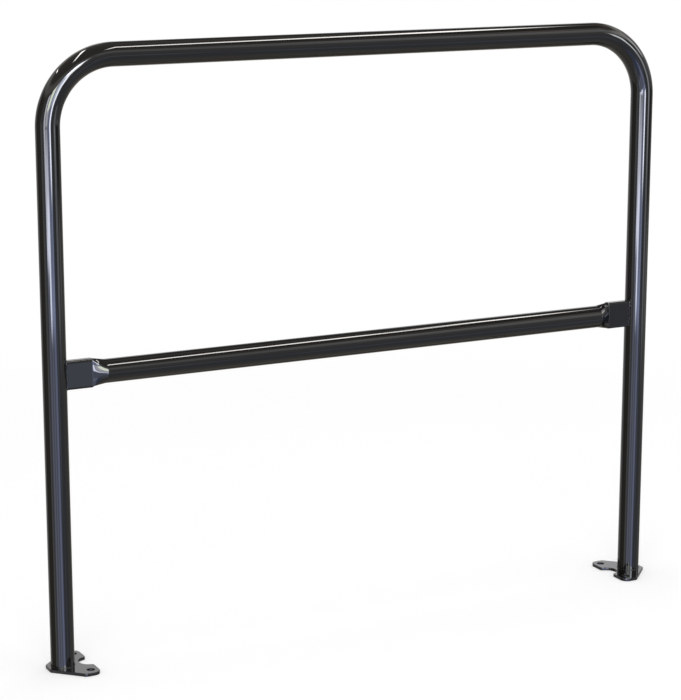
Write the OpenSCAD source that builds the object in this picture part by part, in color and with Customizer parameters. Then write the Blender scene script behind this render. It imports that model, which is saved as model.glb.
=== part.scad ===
// Safety railing: one bent tube makes both posts and the top rail,
// a mid rail with pressed ends is welded between the posts,
// and each post stands on a foot plate with a round notch and two bolt holes.
// Millimetres. The origin is on the underside of the left foot plate, on the post's axis.
// +X runs to the right post, +Y to the back and +Z up.

/* [Railing] */

// Height from the floor to the top of the top rail
overall_height = 1100; // [900:1:1300]

// Width over the outsides of the two posts
overall_width = 1250; // [600:1:2400]

// Height of the mid rail's axis above the floor
mid_rail_height = 531; // [300:1:700]

/* [Tube] */

// Outside diameter of the posts and both rails
tube_od = 42.4; // [33.7:0.1:60.3]

// Wall thickness of every tube
tube_wall = 2.6; // [2:0.1:4]

// Radius of the bends, measured on the tube's axis
bend_radius = 120; // [80:1:200]

/* [Pressed rail ends] */

// Height of the flattened end of the mid rail
tab_height = 51.5; // [44:0.5:60]

// Thickness of the flattened end of the mid rail
tab_thickness = 15; // [10:0.5:24]

// Outer radius of the flattened end's four long edges
tab_corner_radius = 3; // [1:0.5:6]

// Length of the flattened end in the open, from the post's surface
tab_length = 45; // [20:1:80]

// Length of the taper from the flattened end to the round tube
taper_length = 28; // [15:1:60]

/* [Foot plates] */

// Thickness of each foot plate
plate_thickness = 6; // [4:0.5:12]

// Length of each foot plate across the railing
plate_span = 124; // [115:1:160]

// Distance from the post's axis to the plate's outer edge
plate_outer_reach = 28; // [27:0.5:45]

// Distance from the post's axis to the plate's inner edge
plate_inner_reach = 50.5; // [48:0.5:70]

// Distance from the post's axis to each of the two slanted outer edges
plate_slant_reach = 29; // [27:0.5:40]

// Radius of the half-round notch in the plate's inner edge
notch_radius = 20; // [12:0.5:22]

// Radius of the inner corner of each ear
ear_radius = 14; // [6:0.5:16]

// Radius of the outer corner of each ear, where the slanted edge begins
shoulder_radius = 7; // [2:0.5:12]

// Radius of the plate's other corners
plate_corner_radius = 5; // [1:0.5:8]

// Diameter of the bolt holes
bolt_hole_d = 14; // [9:0.5:16]

// Distance between the two bolt holes of a plate
bolt_spacing = 90; // [84:1:110]

// Distance from the post's axis to the line of the bolt holes
bolt_offset = 35.5; // [33:0.5:45]

/* [Welds] */

// Leg length of the fillet weld round the foot of each post
foot_weld_leg = 3; // [2:0.5:5]

// Leg length of the fillet weld round each end of the mid rail
rail_weld_leg = 2; // [1.5:0.5:4]

/* [Hidden] */

$fn = 96;
corner_steps = 10;
hair = 0.01;

coat_black = [0.11, 0.11, 0.12];
weld_black = [0.14, 0.14, 0.15];

tube_r = tube_od / 2;
bore_r = tube_r - tube_wall;
post_distance = overall_width - tube_od;
top_rail_z = overall_height - tube_r;
bend_start_z = top_rail_z - bend_radius;
post_length = bend_start_z - plate_thickness;
straight_rail_length = post_distance - 2 * bend_radius;

tab_end = tube_r + tab_length;
taper_end = tab_end + taper_length;
round_rail_length = post_distance - 2 * taper_end;
tab_bore_corner = max(tab_corner_radius - tube_wall, tube_wall / 5);

slant = 45;
slant_shift = plate_slant_reach / cos(slant);
ear_y = plate_span / 2;
notch_end_y = sqrt(notch_radius * (notch_radius + 2 * plate_corner_radius));
notch_end_angle = atan2(notch_end_y, -plate_corner_radius);

// Tubes

module tube(length) {
    difference() {
        cylinder(r = tube_r, h = length);
        translate([0, 0, -1])
            cylinder(r = bore_r, h = length + 2);
    }
}

module ring_section() {
    difference() {
        circle(r = tube_r);
        circle(r = bore_r);
    }
}

// A quarter bend in the XZ plane about the origin, from +X round to +Z
module quarter_bend() {
    rotate([90, 0, 0])
        rotate_extrude(angle = 90)
            translate([bend_radius, 0])
                ring_section();
}

module post_and_bend() {
    translate([0, 0, plate_thickness])
        tube(post_length);
    translate([bend_radius, 0, bend_start_z])
        mirror([1, 0, 0])
            quarter_bend();
}

module hoop() {
    color(coat_black) {
        post_and_bend();
        at_right_post()
            post_and_bend();
        translate([bend_radius, 0, top_rail_z])
            rotate([0, 90, 0])
                tube(straight_rail_length);
    }
}

// Puts a left-hand piece at the right post, as its mirror image
module at_right_post() {
    translate([post_distance, 0, 0])
        mirror([1, 0, 0])
            children();
}

// Mid rail

// The flattened section, its height along X, inset by the wall for its bore
module tab_section(inset) {
    x = tab_height / 2 - inset;
    y = tab_thickness / 2 - inset;
    r = inset > 0 ? tab_bore_corner : tab_corner_radius;
    polygon(rounded_outline([[x, y, r], [-x, y, r], [-x, -y, r], [x, -y, r]]));
}

// Solid form of a pressed end, from the post's axis along +Z
module pressed_form(inset) {
    linear_extrude(tab_end)
        tab_section(inset);
    hull() {
        translate([0, 0, tab_end - hair])
            linear_extrude(hair)
                tab_section(inset);
        translate([0, 0, taper_end - hair])
            cylinder(r = tube_r - inset, h = hair);
    }
}

module pressed_end() {
    translate([0, 0, mid_rail_height])
        rotate([0, 90, 0])
            difference() {
                pressed_form(0);
                pressed_form(tube_wall);
            }
}

module mid_rail() {
    color(coat_black)
        difference() {
            union() {
                pressed_end();
                at_right_post()
                    pressed_end();
                translate([taper_end, 0, mid_rail_height])
                    rotate([0, 90, 0])
                        tube(round_rail_length);
            }
            post_space();
            at_right_post()
                post_space();
        }
}

// The room that a post takes where the mid rail's end is coped to fit it
module post_space() {
    translate([0, 0, mid_rail_height - tab_height])
        cylinder(r = tube_r, h = 2 * tab_height);
}

// Foot plates

function unit(v) = v / norm(v);

// Points of an arc about a centre, from one angle to another
function arc(centre, radius, from, to) =
    [for (i = [0:corner_steps])
        let (a = from + (to - from) * i / corner_steps)
        centre + radius * [cos(a), sin(a)]];

// Points of the arc that rounds one corner, given as [x, y, radius]
function corner_arc(before, corner, after) =
    let (
        p = [corner[0], corner[1]],
        u = unit([before[0], before[1]] - p),
        v = unit([after[0], after[1]] - p),
        half = acos(u * v) / 2,
        centre = p + unit(u + v) * corner[2] / sin(half),
        first = p + u * corner[2] / tan(half) - centre,
        last = p + v * corner[2] / tan(half) - centre,
        from = atan2(first[1], first[0]),
        turn = atan2(last[1], last[0]) - from,
        sweep = turn > 180 ? turn - 360 : turn < -180 ? turn + 360 : turn
    )
    arc(centre, corner[2], from, from + sweep);

function rounded_outline(corners) =
    let (n = len(corners))
    [for (i = [0:n - 1])
        each corner_arc(corners[(i + n - 1) % n], corners[i], corners[(i + 1) % n])];

// Corners of one ear, from the end of the notch round to the middle of the outer edge
ear_corners = [
    [plate_inner_reach, notch_end_y],
    [plate_inner_reach, ear_y, ear_radius],
    [ear_y - slant_shift, ear_y, shoulder_radius],
    [-plate_outer_reach, slant_shift - plate_outer_reach, plate_corner_radius],
    [-plate_outer_reach, 0],
];

// Half of the plate's outline, from the bottom of the notch round to the outer edge
half_outline = [
    each arc([plate_inner_reach, 0], notch_radius, 180, notch_end_angle),
    each arc(
        [plate_inner_reach - plate_corner_radius, notch_end_y],
        plate_corner_radius, notch_end_angle - 180, 0
    ),
    for (i = [1:len(ear_corners) - 2])
        each corner_arc(ear_corners[i - 1], ear_corners[i], ear_corners[i + 1]),
];

plate_outline = [
    each half_outline,
    for (i = [len(half_outline) - 1:-1:1])
        [half_outline[i][0], -half_outline[i][1]],
];

module foot_plate() {
    color(coat_black)
        difference() {
            linear_extrude(plate_thickness)
                polygon(plate_outline);
            for (side = [-1, 1])
                translate([bolt_offset, side * bolt_spacing / 2, -1])
                    cylinder(d = bolt_hole_d, h = plate_thickness + 2);
        }
}

// Welds

// A ring of weld round the foot of a post
module foot_weld() {
    color(weld_black)
        translate([0, 0, plate_thickness])
            rotate_extrude()
                polygon([
                    [tube_r, 0],
                    [tube_r + foot_weld_leg, 0],
                    [tube_r + foot_weld_leg * 0.4, foot_weld_leg * 0.4],
                    [tube_r, foot_weld_leg],
                ]);
}

// A bead round the end of the mid rail, thickest at the post
module rail_weld() {
    color(weld_black)
        difference() {
            translate([0, 0, mid_rail_height])
                rotate([0, 90, 0])
                    difference() {
                        hull() {
                            translate([0, 0, bore_r])
                                linear_extrude(hair)
                                    tab_section(-rail_weld_leg);
                            translate([0, 0, tube_r + rail_weld_leg / 2])
                                linear_extrude(hair)
                                    tab_section(0);
                        }
                        linear_extrude(tab_end)
                            tab_section(0);
                    }
            post_space();
        }
}

hoop();
mid_rail();
foot_plate();  // left_foot_plate
at_right_post() foot_plate();  // right_foot_plate
foot_weld();  // left_foot_weld
at_right_post() foot_weld();  // right_foot_weld
rail_weld();  // left_rail_weld
at_right_post() rail_weld();  // right_rail_weld
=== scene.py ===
import math

import bmesh
import bpy
from mathutils import Matrix, Vector


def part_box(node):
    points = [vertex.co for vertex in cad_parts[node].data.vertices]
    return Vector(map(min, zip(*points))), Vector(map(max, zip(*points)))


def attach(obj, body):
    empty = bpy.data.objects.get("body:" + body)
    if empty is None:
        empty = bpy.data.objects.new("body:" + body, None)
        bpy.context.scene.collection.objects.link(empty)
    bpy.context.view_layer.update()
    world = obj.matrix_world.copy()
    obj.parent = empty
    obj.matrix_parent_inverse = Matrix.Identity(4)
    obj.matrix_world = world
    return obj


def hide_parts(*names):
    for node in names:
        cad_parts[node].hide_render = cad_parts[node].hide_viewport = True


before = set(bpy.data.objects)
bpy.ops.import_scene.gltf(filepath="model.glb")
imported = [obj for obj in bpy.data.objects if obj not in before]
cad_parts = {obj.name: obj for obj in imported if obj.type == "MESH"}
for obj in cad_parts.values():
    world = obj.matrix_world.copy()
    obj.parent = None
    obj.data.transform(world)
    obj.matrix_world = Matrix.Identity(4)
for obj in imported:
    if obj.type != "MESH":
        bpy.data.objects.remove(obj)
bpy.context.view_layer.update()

# Sizes in metres, read from the CAD nodes where their boxes give them
HOOP_LOW, HOOP_HIGH = (Vector(corner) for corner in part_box("hoop"))
PLATE_LOW, PLATE_HIGH = (Vector(corner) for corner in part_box("left_foot_plate"))
RAIL_LOW, RAIL_HIGH = (Vector(corner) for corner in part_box("mid_rail"))
TUBE_R = 0.0212
POST_DISTANCE = HOOP_HIGH.x - HOOP_LOW.x - 2 * TUBE_R
TOP_RAIL_Z = HOOP_HIGH.z - TUBE_R
MID_RAIL_Z = (RAIL_LOW.z + RAIL_HIGH.z) / 2
BEND_RADIUS = 0.120
BEND_RIPPLE = 0.004
RIPPLES_PER_BEND = 6
BEND_STEPS = 72
TUBE_SIDES = 96
PLATE_THICKNESS = PLATE_HIGH.z - PLATE_LOW.z
TAB_HEIGHT = RAIL_HIGH.z - RAIL_LOW.z
TAB_THICKNESS = 0.015
TAB_CORNER = 0.003
TAB_END = TUBE_R + 0.0458
TAPER_END = TAB_END + 0.0242
TAPER_CREASE = 0.0007
TAPER_FIRST_RING = 0.0016
TAPER_RING_STEP = 0.00145
TAPER_RINGS = 15
TAPER_ROUNDING = 3.2
RAIL_SIDES = 160
PLATE_SLANT_REACH = 0.029
PLATE_CORNER = 0.005
SHOULDER_RADIUS = 0.007
EAR_RADIUS = 0.014
NOTCH_RADIUS = 0.020
BOLT_HOLE_R = 0.007
BOLT_OFFSET = 0.0355
BOLT_SPACING = 0.090
PLATE_EDGE_EASE = 0.0007
FOOT_BEAD_RADIUS = 0.0009
RAIL_BEAD_RADIUS = 0.0006
BEAD_RIPPLE_LENGTH = 0.0021
BEAD_RIPPLE_SHARE = 0.14
BEAD_RING_SPACING = 0.0004
BEAD_SIDES = 14
FOOT_BEAD_STEPS = 120
BEAD_OFF_POST = 0.0002
BEAD_OFF_RAIL = 0.0003
SWEEP_INTO_POST = 0.0004
SHARP_ANGLE = math.radians(50)
PLATE_SHARP_ANGLE = math.radians(40)
MIDDLE = Vector((POST_DISTANCE / 2, 0, TOP_RAIL_Z / 2))


class Socket:
    """A shader or geometry socket that takes part in Python expressions on values."""

    def __init__(self, graph, link):
        self.graph = graph
        self.link = link

    def _math(self, operation, *values):
        return self.graph.node(
            "ShaderNodeMath", {"operation": operation}, dict(enumerate(values))
        )

    def __add__(self, other):
        return self._math("ADD", self, other)

    def __radd__(self, other):
        return self._math("ADD", other, self)

    def __sub__(self, other):
        return self._math("SUBTRACT", self, other)

    def __rsub__(self, other):
        return self._math("SUBTRACT", other, self)

    def __mul__(self, other):
        return self._math("MULTIPLY", self, other)

    def __rmul__(self, other):
        return self._math("MULTIPLY", other, self)

    def __truediv__(self, other):
        return self._math("DIVIDE", self, other)

    def minimum(self, other):
        return self._math("MINIMUM", self, other)

    def maximum(self, other):
        return self._math("MAXIMUM", self, other)

    def above(self, other):
        """1 where greater than other, otherwise 0."""
        return self._math("GREATER_THAN", self, other)

    def arctan2(self, other):
        return self._math("ARCTAN2", self, other)

    def arcsine(self):
        return self._math("ARCSINE", self)

    def absolute(self):
        return self._math("ABSOLUTE", self)

    def sine(self):
        return self._math("SINE", self)

    def cosine(self):
        return self._math("COSINE", self)


class Graph:
    """Builds the nodes of a material, of the world or of a geometry group."""

    def __init__(self, tree):
        self.tree = tree
        tree.nodes.clear()

    def node(self, kind, settings=None, values=None, output=0):
        """One output of a new node, its settings made before its sockets are fed."""
        made = self.tree.nodes.new(kind)
        for name, value in (settings or {}).items():
            setattr(made, name, value)
        for name, value in (values or {}).items():
            self.feed(made.inputs[name], value)
        return Socket(self, made.outputs[output]) if made.outputs else None

    def outputs(self, kind, names, values=None):
        """Several outputs of one new node."""
        made = self.tree.nodes.new(kind)
        for name, value in (values or {}).items():
            self.feed(made.inputs[name], value)
        return [Socket(self, made.outputs[name]) for name in names]

    def step(self, value, low, high):
        """0 below low, 1 above high and smooth between."""
        return self.node(
            "ShaderNodeMapRange",
            {"interpolation_type": "SMOOTHSTEP"},
            {"Value": value, "From Min": low, "From Max": high},
        )

    def mix(self, share, first, second):
        """The first colour, and the second where share is 1."""
        return self.node(
            "ShaderNodeMix", {"data_type": "RGBA"}, {0: share, 6: first, 7: second}, 2
        )

    def feed(self, socket, value):
        """Links a Socket, or sets a plain value."""
        if isinstance(value, Socket):
            self.tree.links.new(value.link, socket)
        else:
            socket.default_value = value


def tint(level, red=1.0, green=1.0, blue=1.0):
    """A colour of a level, with a share of it for each channel."""
    return (level * red, level * green, level * blue, 1)


def noise(graph, place, scale, detail, roughness=0.5):
    """Cloudy noise, finer with a larger scale."""
    values = {"Vector": place, "Scale": scale, "Detail": detail, "Roughness": roughness}
    return graph.node("ShaderNodeTexNoise", values=values)


# Materials


def gloss_coat(name, peel, ripple=0.0):
    """Gloss black coating. Peel is the depth of its orange peel, ripple that of a weld under it."""
    material = bpy.data.materials.new(name)
    material.use_nodes = True
    graph = Graph(material.node_tree)
    place = graph.node("ShaderNodeTexCoord", output="Object")
    cloud = noise(graph, place, 9.0, 3.0, 0.6)
    peel_noise = noise(graph, place, 420.0, 1.0, 0.4)
    specks = noise(graph, place, 500.0, 2.0)
    dust = graph.step(specks, 0.66, 0.78) * graph.step(cloud, 0.4, 0.65)
    black = graph.mix(cloud, tint(0.0035), tint(0.006, 0.97, 1, 1.06))
    colour = graph.mix(dust * 0.04, black, tint(0.2, 1.02, 1, 0.95))
    roughness = 0.012 + graph.step(cloud, 0.35, 0.75) * 0.014 + dust * 0.01
    height = peel_noise
    if ripple:
        height = peel_noise + noise(graph, place, 260.0, 3.0, 0.6) * ripple
    surface = graph.node(
        "ShaderNodeBump", values={"Strength": 1.0, "Distance": peel, "Height": height}
    )
    coat = graph.node(
        "ShaderNodeBsdfPrincipled",
        values={"Base Color": colour, "Roughness": roughness, "IOR": 1.5, "Normal": surface},
    )
    graph.node("ShaderNodeOutputMaterial", values={"Surface": coat})
    return material


tube_coat = gloss_coat("tube_coat", 0.0000006)
plate_coat = gloss_coat("plate_coat", 0.000002)
weld_coat = gloss_coat("weld_coat", 0.000004, 2.0)
for name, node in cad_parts.items():
    node.data.materials.clear()
    node.data.materials.append(
        weld_coat if "weld" in name else plate_coat if "plate" in name else tube_coat
    )

# Pieces


def show(name, mesh, slot_name, *nodes):
    """Puts a piece in place of CAD nodes and hides them; the slot name is not used."""
    piece = bpy.data.objects.new(name, mesh)
    bpy.context.scene.collection.objects.link(piece)
    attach(piece, "root")
    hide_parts(*nodes)


def number_inputs(group, sizes):
    """Gives a geometry group an input for each named size, and returns their identifiers."""
    keys = {}
    for name, value in sizes.items():
        made = group.interface.new_socket(name, in_out="INPUT", socket_type="NodeSocketFloat")
        made.default_value = value
        keys[name] = made.identifier
    return keys


def finish_group(graph, mesh, material):
    """Ends a geometry group, with its instances made real and its material set."""
    graph.tree.interface.new_socket("Geometry", in_out="OUTPUT", socket_type="NodeSocketGeometry")
    whole = graph.node("GeometryNodeRealizeInstances", values={"Geometry": mesh})
    coated = graph.node("GeometryNodeSetMaterial", values={"Geometry": whole, "Material": material})
    graph.node("NodeGroupOutput", values={"Geometry": coated})


def run_group(name, data, group, inputs, material):
    """The mesh that a geometry group makes of data, with its named inputs set."""
    carrier = bpy.data.objects.new(name, data)
    bpy.context.scene.collection.objects.link(carrier)
    modifier = carrier.modifiers.new(name, "NODES")
    modifier.node_group = group
    for identifier, value in inputs.items():
        modifier[identifier] = value
    graph = bpy.context.evaluated_depsgraph_get()
    mesh = bpy.data.meshes.new_from_object(carrier.evaluated_get(graph))
    mesh.name = name
    carrier.modifiers.clear()
    bpy.data.objects.remove(carrier)
    mesh.materials.clear()
    mesh.materials.append(material)
    return mesh


def tidy_mesh(mesh, merge=0.00001):
    """Merges doubles and turns every face outward."""
    shape = bmesh.new()
    shape.from_mesh(mesh)
    bmesh.ops.remove_doubles(shape, verts=shape.verts, dist=merge)
    bmesh.ops.recalc_face_normals(shape, faces=shape.faces)
    shape.to_mesh(mesh)
    shape.free()
    return mesh


def hoop_line(graph, width, foot, top, bend):
    """The hoop's line up one post, along the top and down the other, with its bends round."""
    index = graph.node("GeometryNodeInputIndex")
    across = index.above(1.5) * width
    raised = 1 - (index - 1.5).absolute().above(1.0)
    up = foot + raised * (top - foot)
    corner = graph.node("ShaderNodeCombineXYZ", values={"X": across, "Z": up})
    line = graph.node("GeometryNodeMeshLine", values={"Count": 4})
    placed = graph.node("GeometryNodeSetPosition", values={"Geometry": line, "Position": corner})
    path = graph.node("GeometryNodeMeshToCurve", values={"Mesh": placed})
    values = {"Curve": path, "Count": BEND_STEPS, "Radius": bend}
    return graph.node("GeometryNodeFilletCurve", {"mode": "POLY"}, values)


def hoop_girth(graph, post, bend, ripple):
    """The tube's girth along the hoop as a share, with the faint ripples of its bends."""
    along, share = graph.outputs("GeometryNodeSplineParameter", ["Length", "Factor"])
    from_end = along.minimum(along / share.maximum(0.0001) - along)
    into_bend = (from_end - post) / (bend * (math.pi / 2))
    inside = graph.step(into_bend, 0.0, 0.2) - graph.step(into_bend, 0.8, 1.0)
    wave = 0.5 - 0.5 * (into_bend * (2 * RIPPLES_PER_BEND * math.pi)).cosine()
    return 1 - ripple * inside * wave


def bent_hoop():
    """Both posts and the top rail as one tube swept along a line with two round bends."""
    group = bpy.data.node_groups.new("bent_hoop", "GeometryNodeTree")
    sizes = {
        "Width": POST_DISTANCE,
        "Foot height": PLATE_THICKNESS,
        "Rail height": TOP_RAIL_Z,
        "Bend radius": BEND_RADIUS,
        "Tube radius": TUBE_R,
        "Bend ripple": BEND_RIPPLE,
    }
    keys = number_inputs(group, sizes)
    graph = Graph(group)
    width, foot, top, bend, tube, ripple = graph.outputs("NodeGroupInput", list(sizes))
    section = graph.node(
        "GeometryNodeCurvePrimitiveCircle", values={"Resolution": TUBE_SIDES, "Radius": tube}
    )
    swept = graph.node(
        "GeometryNodeCurveToMesh",
        values={
            "Curve": hoop_line(graph, width, foot, top, bend),
            "Profile Curve": section,
            "Scale": hoop_girth(graph, top - foot - bend, bend, ripple),
            "Fill Caps": True,
        },
    )
    finish_group(graph, swept, tube_coat)
    inputs = {keys[name]: value for name, value in sizes.items()}
    mesh = run_group("hoop_tube", bpy.data.meshes.new("hoop_start"), group, inputs, tube_coat)
    tidy_mesh(mesh)
    mesh.set_sharp_from_angle(angle=SHARP_ANGLE)
    show("hoop_tube", mesh, "tube_coat", "hoop")


def flat_reach(angle, x, y, r):
    """A point of a rounded rectangle's outline, half the rectangle being x by y."""
    ray = Vector((x * abs(math.cos(angle)), y * abs(math.sin(angle))))
    centre = Vector((x - r, y - r))
    if ray.y * x <= centre.y * ray.x:
        reach = x / ray.x
    elif ray.x * y <= centre.x * ray.y:
        reach = y / ray.y
    else:
        near = ray.dot(centre)
        square = ray.length_squared
        inside = near * near - square * (centre.length_squared - r * r)
        reach = (near + math.sqrt(max(0.0, inside))) / square
    return Vector((x * math.cos(angle), y * math.sin(angle))) * reach


def rail_section(share):
    """Points (z, y) of the mid rail's outline, flat at share 0 and round at 1."""
    flat_size = Vector((TAB_HEIGHT / 2, TAB_THICKNESS / 2))
    size = flat_size.lerp(Vector((TUBE_R, TUBE_R)), share)
    roundness = 1 - (1 - share) ** TAPER_ROUNDING
    points = []
    for i in range(RAIL_SIDES):
        angle = 2 * math.pi * i / RAIL_SIDES
        flat = flat_reach(angle, flat_size.x, flat_size.y, TAB_CORNER)
        square = Vector((flat.x / flat_size.x, flat.y / flat_size.y))
        circle = Vector((math.cos(angle), math.sin(angle)))
        blended = square.lerp(circle, roundness)
        points.append(Vector((blended.x * size.x, blended.y * size.y)))
    return points


def eased_share(x):
    """How far the section has turned from flat to round, with its two creases rounded."""

    def ramp(t):
        if t <= -TAPER_CREASE:
            return 0.0
        if t >= TAPER_CREASE:
            return t
        return (t + TAPER_CREASE) ** 2 / (4 * TAPER_CREASE)

    length = TAPER_END - TAB_END
    return (ramp(x - TAB_END) - ramp(x - TAPER_END)) / length


def crease_stations(x):
    """Places along the rail for the rings across a crease."""
    return [x - TAPER_CREASE + TAPER_CREASE * k / 3 for k in range(7)]


def coped_ring():
    """The ring at the very end of the rail, fitted to the round of the post."""
    ring = []
    for z, y in rail_section(0.0):
        x = math.sqrt(TUBE_R ** 2 - y ** 2) - SWEEP_INTO_POST
        ring.append(Vector((x, y, MID_RAIL_Z + z)))
    return ring


def plain_ring(x, share):
    return [Vector((x, y, MID_RAIL_Z + z)) for z, y in rail_section(share)]


def end_stations():
    """Places along the rail for the rings of one end, close together where its form changes."""
    stations = [TUBE_R + 0.002, TUBE_R + 0.02, TAB_END - 0.004]
    stations += crease_stations(TAB_END)
    stations += [TAB_END + TAPER_FIRST_RING + TAPER_RING_STEP * k for k in range(TAPER_RINGS)]
    stations += crease_stations(TAPER_END)
    stations += [TAPER_END + 0.004, TAPER_END + 0.03]
    return stations


def rail_rings():
    """The rings of the mid rail, from one post to the other."""
    stations = end_stations()
    rings = [coped_ring()] + [plain_ring(x, eased_share(x)) for x in stations]
    other_end = [[Vector((POST_DISTANCE - p.x, p.y, p.z)) for p in ring] for ring in rings]
    steps = 12
    span = POST_DISTANCE - 2 * stations[-1]
    rings += [plain_ring(stations[-1] + span * k / steps, 1.0) for k in range(1, steps)]
    return rings + other_end[::-1]


def pressed_rail():
    """The mid rail, its two ends pressed flat and shaped to fit the posts."""
    shape = bmesh.new()
    made = [[shape.verts.new(p) for p in ring] for ring in rail_rings()]
    for first, second in zip(made, made[1:]):
        for i in range(RAIL_SIDES):
            j = (i + 1) % RAIL_SIDES
            face = shape.faces.new((first[i], first[j], second[j], second[i]))
            face.smooth = True
    for ring in (made[0], made[-1]):
        shape.faces.new(ring)
    bmesh.ops.triangulate(shape, faces=[f for f in shape.faces if len(f.verts) > 4])
    mesh = bpy.data.meshes.new("pressed_rail")
    shape.to_mesh(mesh)
    shape.free()
    tidy_mesh(mesh, merge=0.000001)
    mesh.set_sharp_from_angle(angle=SHARP_ANGLE)
    mesh.materials.append(tube_coat)
    show("pressed_rail", mesh, "tube_coat", "mid_rail")


def corner_arc(before, corner, after, radius, steps):
    """Points of the arc that rounds one corner of an outline."""
    u = (before - corner).normalized()
    v = (after - corner).normalized()
    half = u.angle(v) / 2
    centre = corner + (u + v).normalized() * radius / math.sin(half)
    first = corner + u * radius / math.tan(half) - centre
    last = corner + v * radius / math.tan(half) - centre
    turn = math.atan2(first.x * last.y - first.y * last.x, first.dot(last))
    points = []
    for i in range(steps + 1):
        a = turn * i / steps
        c, s = math.cos(a), math.sin(a)
        points.append(centre + Vector((first.x * c - first.y * s, first.x * s + first.y * c)))
    return points


def arc_points(centre, radius, start, end, steps):
    """Points of an arc about a centre, from one angle to another in radians."""
    turn = [start + (end - start) * i / steps for i in range(steps + 1)]
    return [centre + Vector((math.cos(a), math.sin(a))) * radius for a in turn]


def circle_points(centre, radius, steps):
    return arc_points(centre, radius, 0, 2 * math.pi, steps)[:-1]


def plate_outline():
    """The outline of a foot plate about the post's axis, with its half-round notch."""
    inner, ear, outer = PLATE_HIGH.x, PLATE_HIGH.y, -PLATE_LOW.x
    shift = PLATE_SLANT_REACH / math.cos(math.radians(45))
    notch_end = math.sqrt(NOTCH_RADIUS * (NOTCH_RADIUS + 2 * PLATE_CORNER))
    turn = math.atan2(notch_end, -PLATE_CORNER)
    ease = Vector((inner - PLATE_CORNER, notch_end))
    points = arc_points(Vector((inner, 0)), NOTCH_RADIUS, math.pi, turn, 24)
    points += arc_points(ease, PLATE_CORNER, turn - math.pi, 0, 12)
    corners = [
        (inner, notch_end, 0),
        (inner, ear, EAR_RADIUS),
        (ear - shift, ear, SHOULDER_RADIUS),
        (-outer, shift - outer, PLATE_CORNER),
        (-outer, 0, 0),
    ]
    for before, corner, after in zip(corners, corners[1:], corners[2:]):
        x, y, radius = corner
        points += corner_arc(Vector(before[:2]), Vector((x, y)), Vector(after[:2]), radius, 12)
    return points + [Vector((p.x, -p.y)) for p in reversed(points[1:])]


def add_loop(curve, points):
    """Adds a closed outline to a flat curve."""
    spline = curve.splines.new("POLY")
    spline.points.add(len(points) - 1)
    for target, point in zip(spline.points, points):
        target.co = (point.x, point.y, 0, 1)
    spline.use_cyclic_u = True


def foot_plate(name, node, mirrored):
    """A chevron plate with eased edges and two eased bolt holes."""
    curve = bpy.data.curves.new(name, "CURVE")
    curve.dimensions = "2D"
    curve.fill_mode = "BOTH"
    curve.extrude = PLATE_THICKNESS / 2 - PLATE_EDGE_EASE
    curve.bevel_depth = PLATE_EDGE_EASE
    curve.bevel_resolution = 3
    curve.offset = -PLATE_EDGE_EASE
    add_loop(curve, plate_outline())
    for side in (-1, 1):
        centre = Vector((BOLT_OFFSET, side * BOLT_SPACING / 2))
        add_loop(curve, circle_points(centre, BOLT_HOLE_R, 48))
    carrier = bpy.data.objects.new(name, curve)
    bpy.context.scene.collection.objects.link(carrier)
    graph = bpy.context.evaluated_depsgraph_get()
    mesh = bpy.data.meshes.new_from_object(carrier.evaluated_get(graph))
    bpy.data.objects.remove(carrier)
    for vertex in mesh.vertices:
        x, y, z = vertex.co
        vertex.co = (POST_DISTANCE - x if mirrored else x, y, z + PLATE_THICKNESS / 2)
    tidy_mesh(mesh)
    mesh.set_sharp_from_angle(angle=PLATE_SHARP_ANGLE)
    for face in mesh.polygons:
        face.use_smooth = abs(face.normal.z) < 0.999
    mesh.materials.clear()
    mesh.materials.append(plate_coat)
    show(name, mesh, "plate_coat", node)


def weld_group():
    """A bead laid along a closed path in overlapping ripples."""
    group = bpy.data.node_groups.new("weld_bead", "GeometryNodeTree")
    group.interface.new_socket("Path", in_out="INPUT", socket_type="NodeSocketGeometry")
    sizes = {
        "Bead radius": FOOT_BEAD_RADIUS,
        "Ripple length": BEAD_RIPPLE_LENGTH,
        "Ripple": BEAD_RIPPLE_SHARE,
    }
    keys = number_inputs(group, sizes)
    graph = Graph(group)
    path, bead, length, ripple = graph.outputs("NodeGroupInput", ["Path", *sizes])
    fine = graph.node(
        "GeometryNodeResampleCurve",
        {"mode": "LENGTH"},
        {"Curve": path, "Length": BEAD_RING_SPACING},
    )
    along = graph.node("GeometryNodeSplineParameter", output="Length")
    wave = ((along / length) * math.pi).sine().absolute()
    radius = bead * (1 - ripple + wave * ripple)
    section = graph.node(
        "GeometryNodeCurvePrimitiveCircle", values={"Resolution": BEAD_SIDES, "Radius": 1.0}
    )
    values = {"Curve": fine, "Profile Curve": section, "Scale": radius}
    finish_group(graph, graph.node("GeometryNodeCurveToMesh", values=values), weld_coat)
    return group, keys


bead_group, bead_keys = weld_group()


def weld_bead(name, node, points, radius):
    """A rippled bead along a closed line of points."""
    curve = bpy.data.curves.new(name, "CURVE")
    curve.dimensions = "3D"
    spline = curve.splines.new("POLY")
    spline.points.add(len(points) - 1)
    for target, point in zip(spline.points, points):
        target.co = (point.x, point.y, point.z, 1)
    spline.use_cyclic_u = True
    inputs = {
        bead_keys["Bead radius"]: radius,
        bead_keys["Ripple length"]: BEAD_RIPPLE_LENGTH,
        bead_keys["Ripple"]: BEAD_RIPPLE_SHARE,
    }
    mesh = run_group(name, curve, bead_group, inputs, weld_coat)
    tidy_mesh(mesh)
    for face in mesh.polygons:
        face.use_smooth = True
    show(name, mesh, "weld_coat", node)


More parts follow.
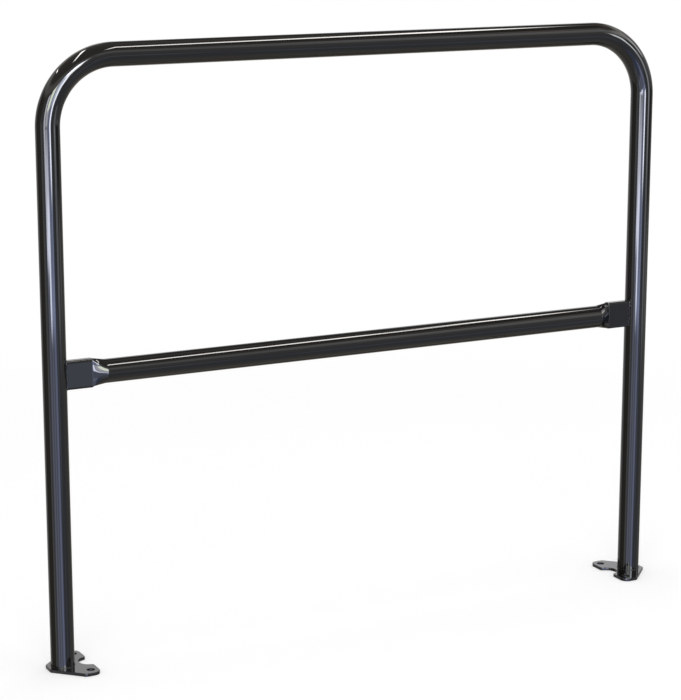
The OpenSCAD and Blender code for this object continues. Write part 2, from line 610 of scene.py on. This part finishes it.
def foot_bead(name, node, post_x):
    """The fillet round the foot of a post."""
    reach = TUBE_R + BEAD_OFF_POST
    height = PLATE_THICKNESS + BEAD_OFF_POST
    turn = [2 * math.pi * i / FOOT_BEAD_STEPS for i in range(FOOT_BEAD_STEPS)]
    points = [Vector((post_x + reach * math.cos(a), reach * math.sin(a), height)) for a in turn]
    weld_bead(name, node, points, FOOT_BEAD_RADIUS)


def rail_bead(name, node, mirrored):
    """The fillet round an end of the mid rail, laid on the post."""
    points = []
    for i in range(RAIL_SIDES):
        z, y = flat_reach(
            2 * math.pi * i / RAIL_SIDES,
            TAB_HEIGHT / 2 + BEAD_OFF_RAIL,
            TAB_THICKNESS / 2 + BEAD_OFF_RAIL,
            TAB_CORNER,
        )
        x = math.sqrt((TUBE_R + BEAD_OFF_POST) ** 2 - y ** 2)
        points.append(Vector((POST_DISTANCE - x if mirrored else x, y, MID_RAIL_Z + z)))
    weld_bead(name, node, points, RAIL_BEAD_RADIUS)


bent_hoop()
pressed_rail()
foot_plate("left_plate", "left_foot_plate", False)
foot_plate("right_plate", "right_foot_plate", True)
foot_bead("left_foot_bead", "left_foot_weld", 0.0)
foot_bead("right_foot_bead", "right_foot_weld", POST_DISTANCE)
rail_bead("left_rail_bead", "left_rail_weld", False)
rail_bead("right_rail_bead", "right_rail_weld", True)

# Camera at the photograph's angle
CAMERA_PLACE = Vector((-1.2633, -3.5131, 1.3975))
CAMERA_YAW = math.radians(27.359)
CAMERA_PITCH = math.radians(12.490)
CAMERA_LENS = 113.49
camera = bpy.data.cameras.new("camera")
camera.lens = CAMERA_LENS
camera_object = bpy.data.objects.new("camera", camera)
bpy.context.scene.collection.objects.link(camera_object)
camera_object.location = CAMERA_PLACE
camera_object.rotation_euler = (math.pi / 2 - CAMERA_PITCH, 0, -CAMERA_YAW)
bpy.context.scene.camera = camera_object

# Surroundings
PLAIN_LEVEL = 0.7
FLOOR_REACH = 3.0


def heading(azimuth, elevation):
    """The direction at an azimuth, from +Y towards +X, and an elevation, in degrees."""
    a, e = math.radians(azimuth), math.radians(elevation)
    return Vector((math.sin(a) * math.cos(e), math.cos(a) * math.cos(e), math.sin(e)))


class Room:
    """The room that the gloss coat mirrors, painted by direction in degrees."""

    # How far the tube lights run towards +X for each unit towards +Y
    LIGHT_SLANT = 0.34

    def __init__(self, graph):
        self.graph = graph
        direction = graph.node("ShaderNodeTexCoord", output="Generated")
        self.x, self.y, self.z = graph.outputs(
            "ShaderNodeSeparateXYZ", ["X", "Y", "Z"], {0: direction}
        )
        self.elevation = self.z.arcsine() * (180 / math.pi)
        self.shade = tint(0.36, 1.12, 1, 0.9)

    def window(self, value, low, high, soft):
        """1 from low to high and 0 outside, with edges that are soft wide."""
        rise = self.graph.step(value, low - soft / 2, low + soft / 2)
        fall = self.graph.step(value, high - soft / 2, high + soft / 2)
        return rise - fall

    def turn_from(self, azimuth):
        """Degrees of azimuth from a heading, with a sign."""
        a = math.radians(azimuth)
        ahead = self.x * math.sin(a) + self.y * math.cos(a)
        side = self.x * math.cos(a) - self.y * math.sin(a)
        return side.arctan2(ahead) * (180 / math.pi)

    def paint(self, mask, colour):
        """Lays a colour over what is there, where mask is 1."""
        self.shade = self.graph.mix(mask, self.shade, colour)

    def band(self, low, high, soft, colour):
        """A band all round, from one elevation to another."""
        self.paint(self.window(self.elevation, low, high, soft), colour)

    def card(self, azimuth, width, low, high, soft, colour):
        """A patch of a width about an azimuth, from one elevation to another."""
        across = self.window(self.turn_from(azimuth), -width / 2, width / 2, soft)
        self.paint(across * self.window(self.elevation, low, high, soft), colour)

    def tube_light(self, offset, half, start, end, colour):
        """A long ceiling light, on the plane one unit above."""
        height = self.z.maximum(0.05)
        px, py = self.x / height, self.y / height
        beside = (px - offset - py * self.LIGHT_SLANT).absolute()
        near = 1 - self.graph.step(beside, half * 0.6, half * 1.4)
        lit = self.window(py, start, end, 0.2)
        above = self.graph.step(self.z, 0.3, 0.4)
        self.paint(near * lit * above, colour)


def paint_walls(room):
    """The wall above the windows, the far wall and the floor."""
    room.band(26, 38, 8, tint(1.15, 1.04, 0.99, 0.92))
    room.band(-6, 24, 10, tint(0.6))
    room.band(-95, -6, 10, tint(0.5, 1.08, 1, 0.9))
    room.card(138, 60, 17, 29, 6, tint(1.3))
    room.card(108, 40, 21, 34, 6, tint(2.3, 1.03, 1, 0.96))
    room.card(150, 60, 34, 48, 8, tint(0.4, 1.1, 1, 0.92))
    room.card(138, 22, 27, 37, 6, tint(1.75, 1.03, 1, 0.98))
    room.card(129, 16, 37, 47, 5, tint(0.9, 1.12, 1, 0.95))
    room.card(120, 80, 50, 62, 12, tint(0.16, 1.15, 1, 0.92))


def paint_shade(room):
    """What is dark on the left and behind, and the two patches that the plates mirror."""
    room.card(-68, 54, -26, 24, 4, tint(0.24, 1.1, 1, 0.82))
    room.card(-54, 22, -26, 24, 4, tint(0.17, 1.1, 1, 0.86))
    room.card(-20, 40, -20, 8, 10, tint(0.55))
    room.card(4, 22, -30, 14, 8, tint(0.95))
    room.card(38, 34, 24, 52, 10, tint(0.10, 1.05, 1, 0.9))
    room.card(52, 40, -62, -42, 10, tint(0.17, 1.1, 1, 0.85))
    room.card(76, 54, -26, 0, 8, tint(0.34, 1, 1, 0.96))
    room.card(110, 26, -26, -4, 6, tint(0.5, 1.05, 1, 0.98))
    room.card(104, 30, -9, -3, 3, tint(0.12))
    room.card(103, 18, -11.8, -9, 2, tint(0.9))
    room.card(19, 10, 12, 28, 3, tint(1.32))
    room.card(35, 9, 10, 26, 3, tint(1.4, 1, 1, 1.02))


def paint_floor(room):
    """The polished floor below the windows."""
    room.card(152, 70, -50, -10, 12, tint(0.46, 0.94, 1, 1.1))
    room.card(147, 18, -24, -6, 5, tint(0.52, 0.96, 1, 1.16))
    room.card(146, 14, -25, -17.5, 3, tint(0.75, 0.96, 1, 1.25))
    room.card(-104, 12, -26, 0, 4, tint(1.1))
    room.card(-94, 6, -12, 6, 3, tint(0.75))
    room.card(-117, 16, -26, 0, 4, tint(0.72, 0.97, 1, 1.12))
    room.card(-150, 58, -40, -8, 5, tint(1.4, 0.89, 0.97, 1.4))
    room.card(-138, 50, -46, -25, 5, tint(0.95, 0.92, 0.97, 1.2))
    room.card(-132, 9, -27, -8, 3, tint(2.15, 0.97, 1, 1.22))
    room.card(-153, 10, -27, -8, 3, tint(2.2, 0.88, 0.97, 1.3))
    room.card(-178, 18, -30, -4, 4, tint(2.65, 0.84, 0.93, 1.43))
    room.card(-173, 26, -11.8, -8.2, 1.2, tint(4.5, 0.85, 1, 1.55))
    room.card(168, 10, -30, -4, 5, tint(0.8, 0.86, 0.97, 1.45))
    room.card(-170, 44, -44, -27, 8, tint(0.8, 0.66, 0.84, 1.5))
    room.card(159, 7, -16.5, -11.4, 2, tint(1.12, 0.88, 0.97, 1.2))


def paint_windows(room):
    """The windows, with their brighter and darker parts."""
    room.card(133.5, 15, -11.5, 7, 2, tint(3.8, 0.97, 1, 1.06))
    room.card(131, 16, -12.5, -7, 3, tint(1.6, 0.97, 1, 1.06))
    room.card(136.5, 9, 2.5, 14, 2, tint(10.5, 0.97, 1, 1.04))
    room.card(124, 11, 9, 20, 3, tint(0.2, 0.97, 1, 1.06))
    room.card(99, 15, 12, 24, 3, tint(4.4))
    room.card(-171, 18, -10.6, 26, 2, tint(2.9, 0.84, 0.96, 1.42))
    room.card(-163.5, 9, 5, 24, 3, tint(4.6, 0.88, 0.97, 1.26))
    room.card(-171.5, 9, 5, 23, 3, tint(11, 0.93, 0.99, 1.16))
    room.card(-150.5, 20, -10.2, 24, 1.6, tint(3.4, 0.97, 1, 1.18))
    room.card(-150.5, 18, -4.5, 10, 3, tint(7.5, 0.98, 0.98, 1.1))
    room.card(-150.5, 16, 6, 24, 4, tint(15, 0.99, 1.07, 0.9))
    room.card(-143, 30, -9.85, -6.8, 2.3, tint(10.6, 0.96, 0.99, 1.2))
    room.card(-142.5, 31, -9.85, -8.4, 1, tint(15.5, 0.96, 0.99, 1.2))
    room.card(-150, 14, -11.7, -8.6, 1.2, tint(15, 0.94, 0.99, 1.22))
    room.card(-131.5, 11, -9.4, 22, 1.6, tint(9.8, 0.98, 1, 1.12))
    room.card(177.5, 10.5, -8.2, 23, 1.4, tint(21.5, 0.96, 1, 1.14))
    room.card(175, 9.5, 9, 23.5, 2, tint(21, 0.98, 1, 1.05))
    room.card(-179, 14, 18, 23.5, 2, tint(34, 0.98, 1, 1.05))


def paint_lights(room):
    """The tube lights on the ceiling."""
    warm = tint(24, 1.03, 1, 0.96)
    room.tube_light(0.55, 0.038, -0.7, 0.26, tint(19, 1.03, 1, 0.96))
    room.tube_light(-0.25, 0.03, -0.32, 0.56, warm)
    room.tube_light(-0.99, 0.03, 0.6, 1.0, warm)


def studio_world():
    """White for the camera, the room for mirrored rays and a plain level for the rest."""
    world = bpy.data.worlds.new("studio")
    bpy.context.scene.world = world
    world.use_nodes = True
    graph = Graph(world.node_tree)
    room = Room(graph)
    paint_walls(room)
    paint_shade(room)
    paint_floor(room)
    paint_windows(room)
    paint_lights(room)
    camera_ray, glossy_ray, clear_ray = graph.outputs(
        "ShaderNodeLightPath", ["Is Camera Ray", "Is Glossy Ray", "Is Transmission Ray"]
    )
    mirrored = glossy_ray.maximum(clear_ray)
    white = graph.node("ShaderNodeBackground", values={"Color": tint(1), "Strength": 1.0})
    plain = graph.node("ShaderNodeBackground", values={"Color": tint(1), "Strength": PLAIN_LEVEL})
    painted = graph.node("ShaderNodeBackground", values={"Color": room.shade, "Strength": 1.0})
    unseen = graph.node("ShaderNodeMixShader", values={0: mirrored, 1: plain, 2: painted})
    sky = graph.node("ShaderNodeMixShader", values={0: camera_ray, 1: unseen, 2: white})
    graph.node("ShaderNodeOutputWorld", values={"Surface": sky})


def soft_box(name, azimuth, elevation, width, height, distance, radiance):
    """A large lamp that lights without showing in the gloss coat."""
    direction = heading(azimuth, elevation)
    lamp = bpy.data.lights.new(name, "AREA")
    lamp.shape = "RECTANGLE"
    lamp.size = width
    lamp.size_y = height
    lamp.energy = radiance * math.pi * width * height
    made = bpy.data.objects.new(name, lamp)
    bpy.context.scene.collection.objects.link(made)
    made.location = MIDDLE + direction * distance
    made.rotation_euler = direction.to_track_quat("Z", "Y").to_euler()
    made.visible_camera = False
    made.visible_glossy = False


def floor_paper():
    """White paper that keeps the shadow, lets mirrored rays through and fades to plain white."""
    material = bpy.data.materials.new("floor_paper")
    material.use_nodes = True
    graph = Graph(material.node_tree)
    place = graph.node("ShaderNodeTexCoord", output="Object")
    from_middle = graph.node(
        "ShaderNodeVectorMath", {"operation": "DISTANCE"}, {0: place, 1: (MIDDLE.x, 0, 0)}, "Value"
    )
    paper = graph.mix(noise(graph, place, 60.0, 4.0), tint(0.79), tint(0.81))
    matte = graph.node("ShaderNodeBsdfDiffuse", values={"Color": paper})
    lift = graph.node("ShaderNodeEmission", values={"Color": tint(1), "Strength": 0.3})
    lit = graph.node("ShaderNodeAddShader", values={0: matte, 1: lift})
    white = graph.node("ShaderNodeEmission", values={"Color": tint(1), "Strength": 1.0})
    rim = graph.step(from_middle, FLOOR_REACH * 0.45, FLOOR_REACH * 0.9)
    seen = graph.node("ShaderNodeMixShader", values={0: rim, 1: lit, 2: white})
    gap = graph.node("ShaderNodeBsdfTransparent")
    glossy_ray, clear_ray = graph.outputs(
        "ShaderNodeLightPath", ["Is Glossy Ray", "Is Transmission Ray"]
    )
    both = graph.node(
        "ShaderNodeMixShader", values={0: glossy_ray.maximum(clear_ray), 1: seen, 2: gap}
    )
    graph.node("ShaderNodeOutputMaterial", values={"Surface": both})
    return material


def white_floor():
    """A disc of white paper that fades into the white behind it."""
    shape = bmesh.new()
    bmesh.ops.create_circle(shape, cap_ends=True, segments=96, radius=FLOOR_REACH)
    mesh = bpy.data.meshes.new("floor")
    shape.to_mesh(mesh)
    shape.free()
    mesh.transform(Matrix.Translation((MIDDLE.x, 0, 0)))
    mesh.materials.append(floor_paper())
    made = bpy.data.objects.new("floor", mesh)
    bpy.context.scene.collection.objects.link(made)


studio_world()
soft_box("window_lamp", -150, 30, 3.5, 2.5, 5, 2.0)
soft_box("ceiling_lamp", 60, 75, 3, 3, 4, 1.0)
white_floor()
bpy.context.scene.view_settings.view_transform = "Standard"
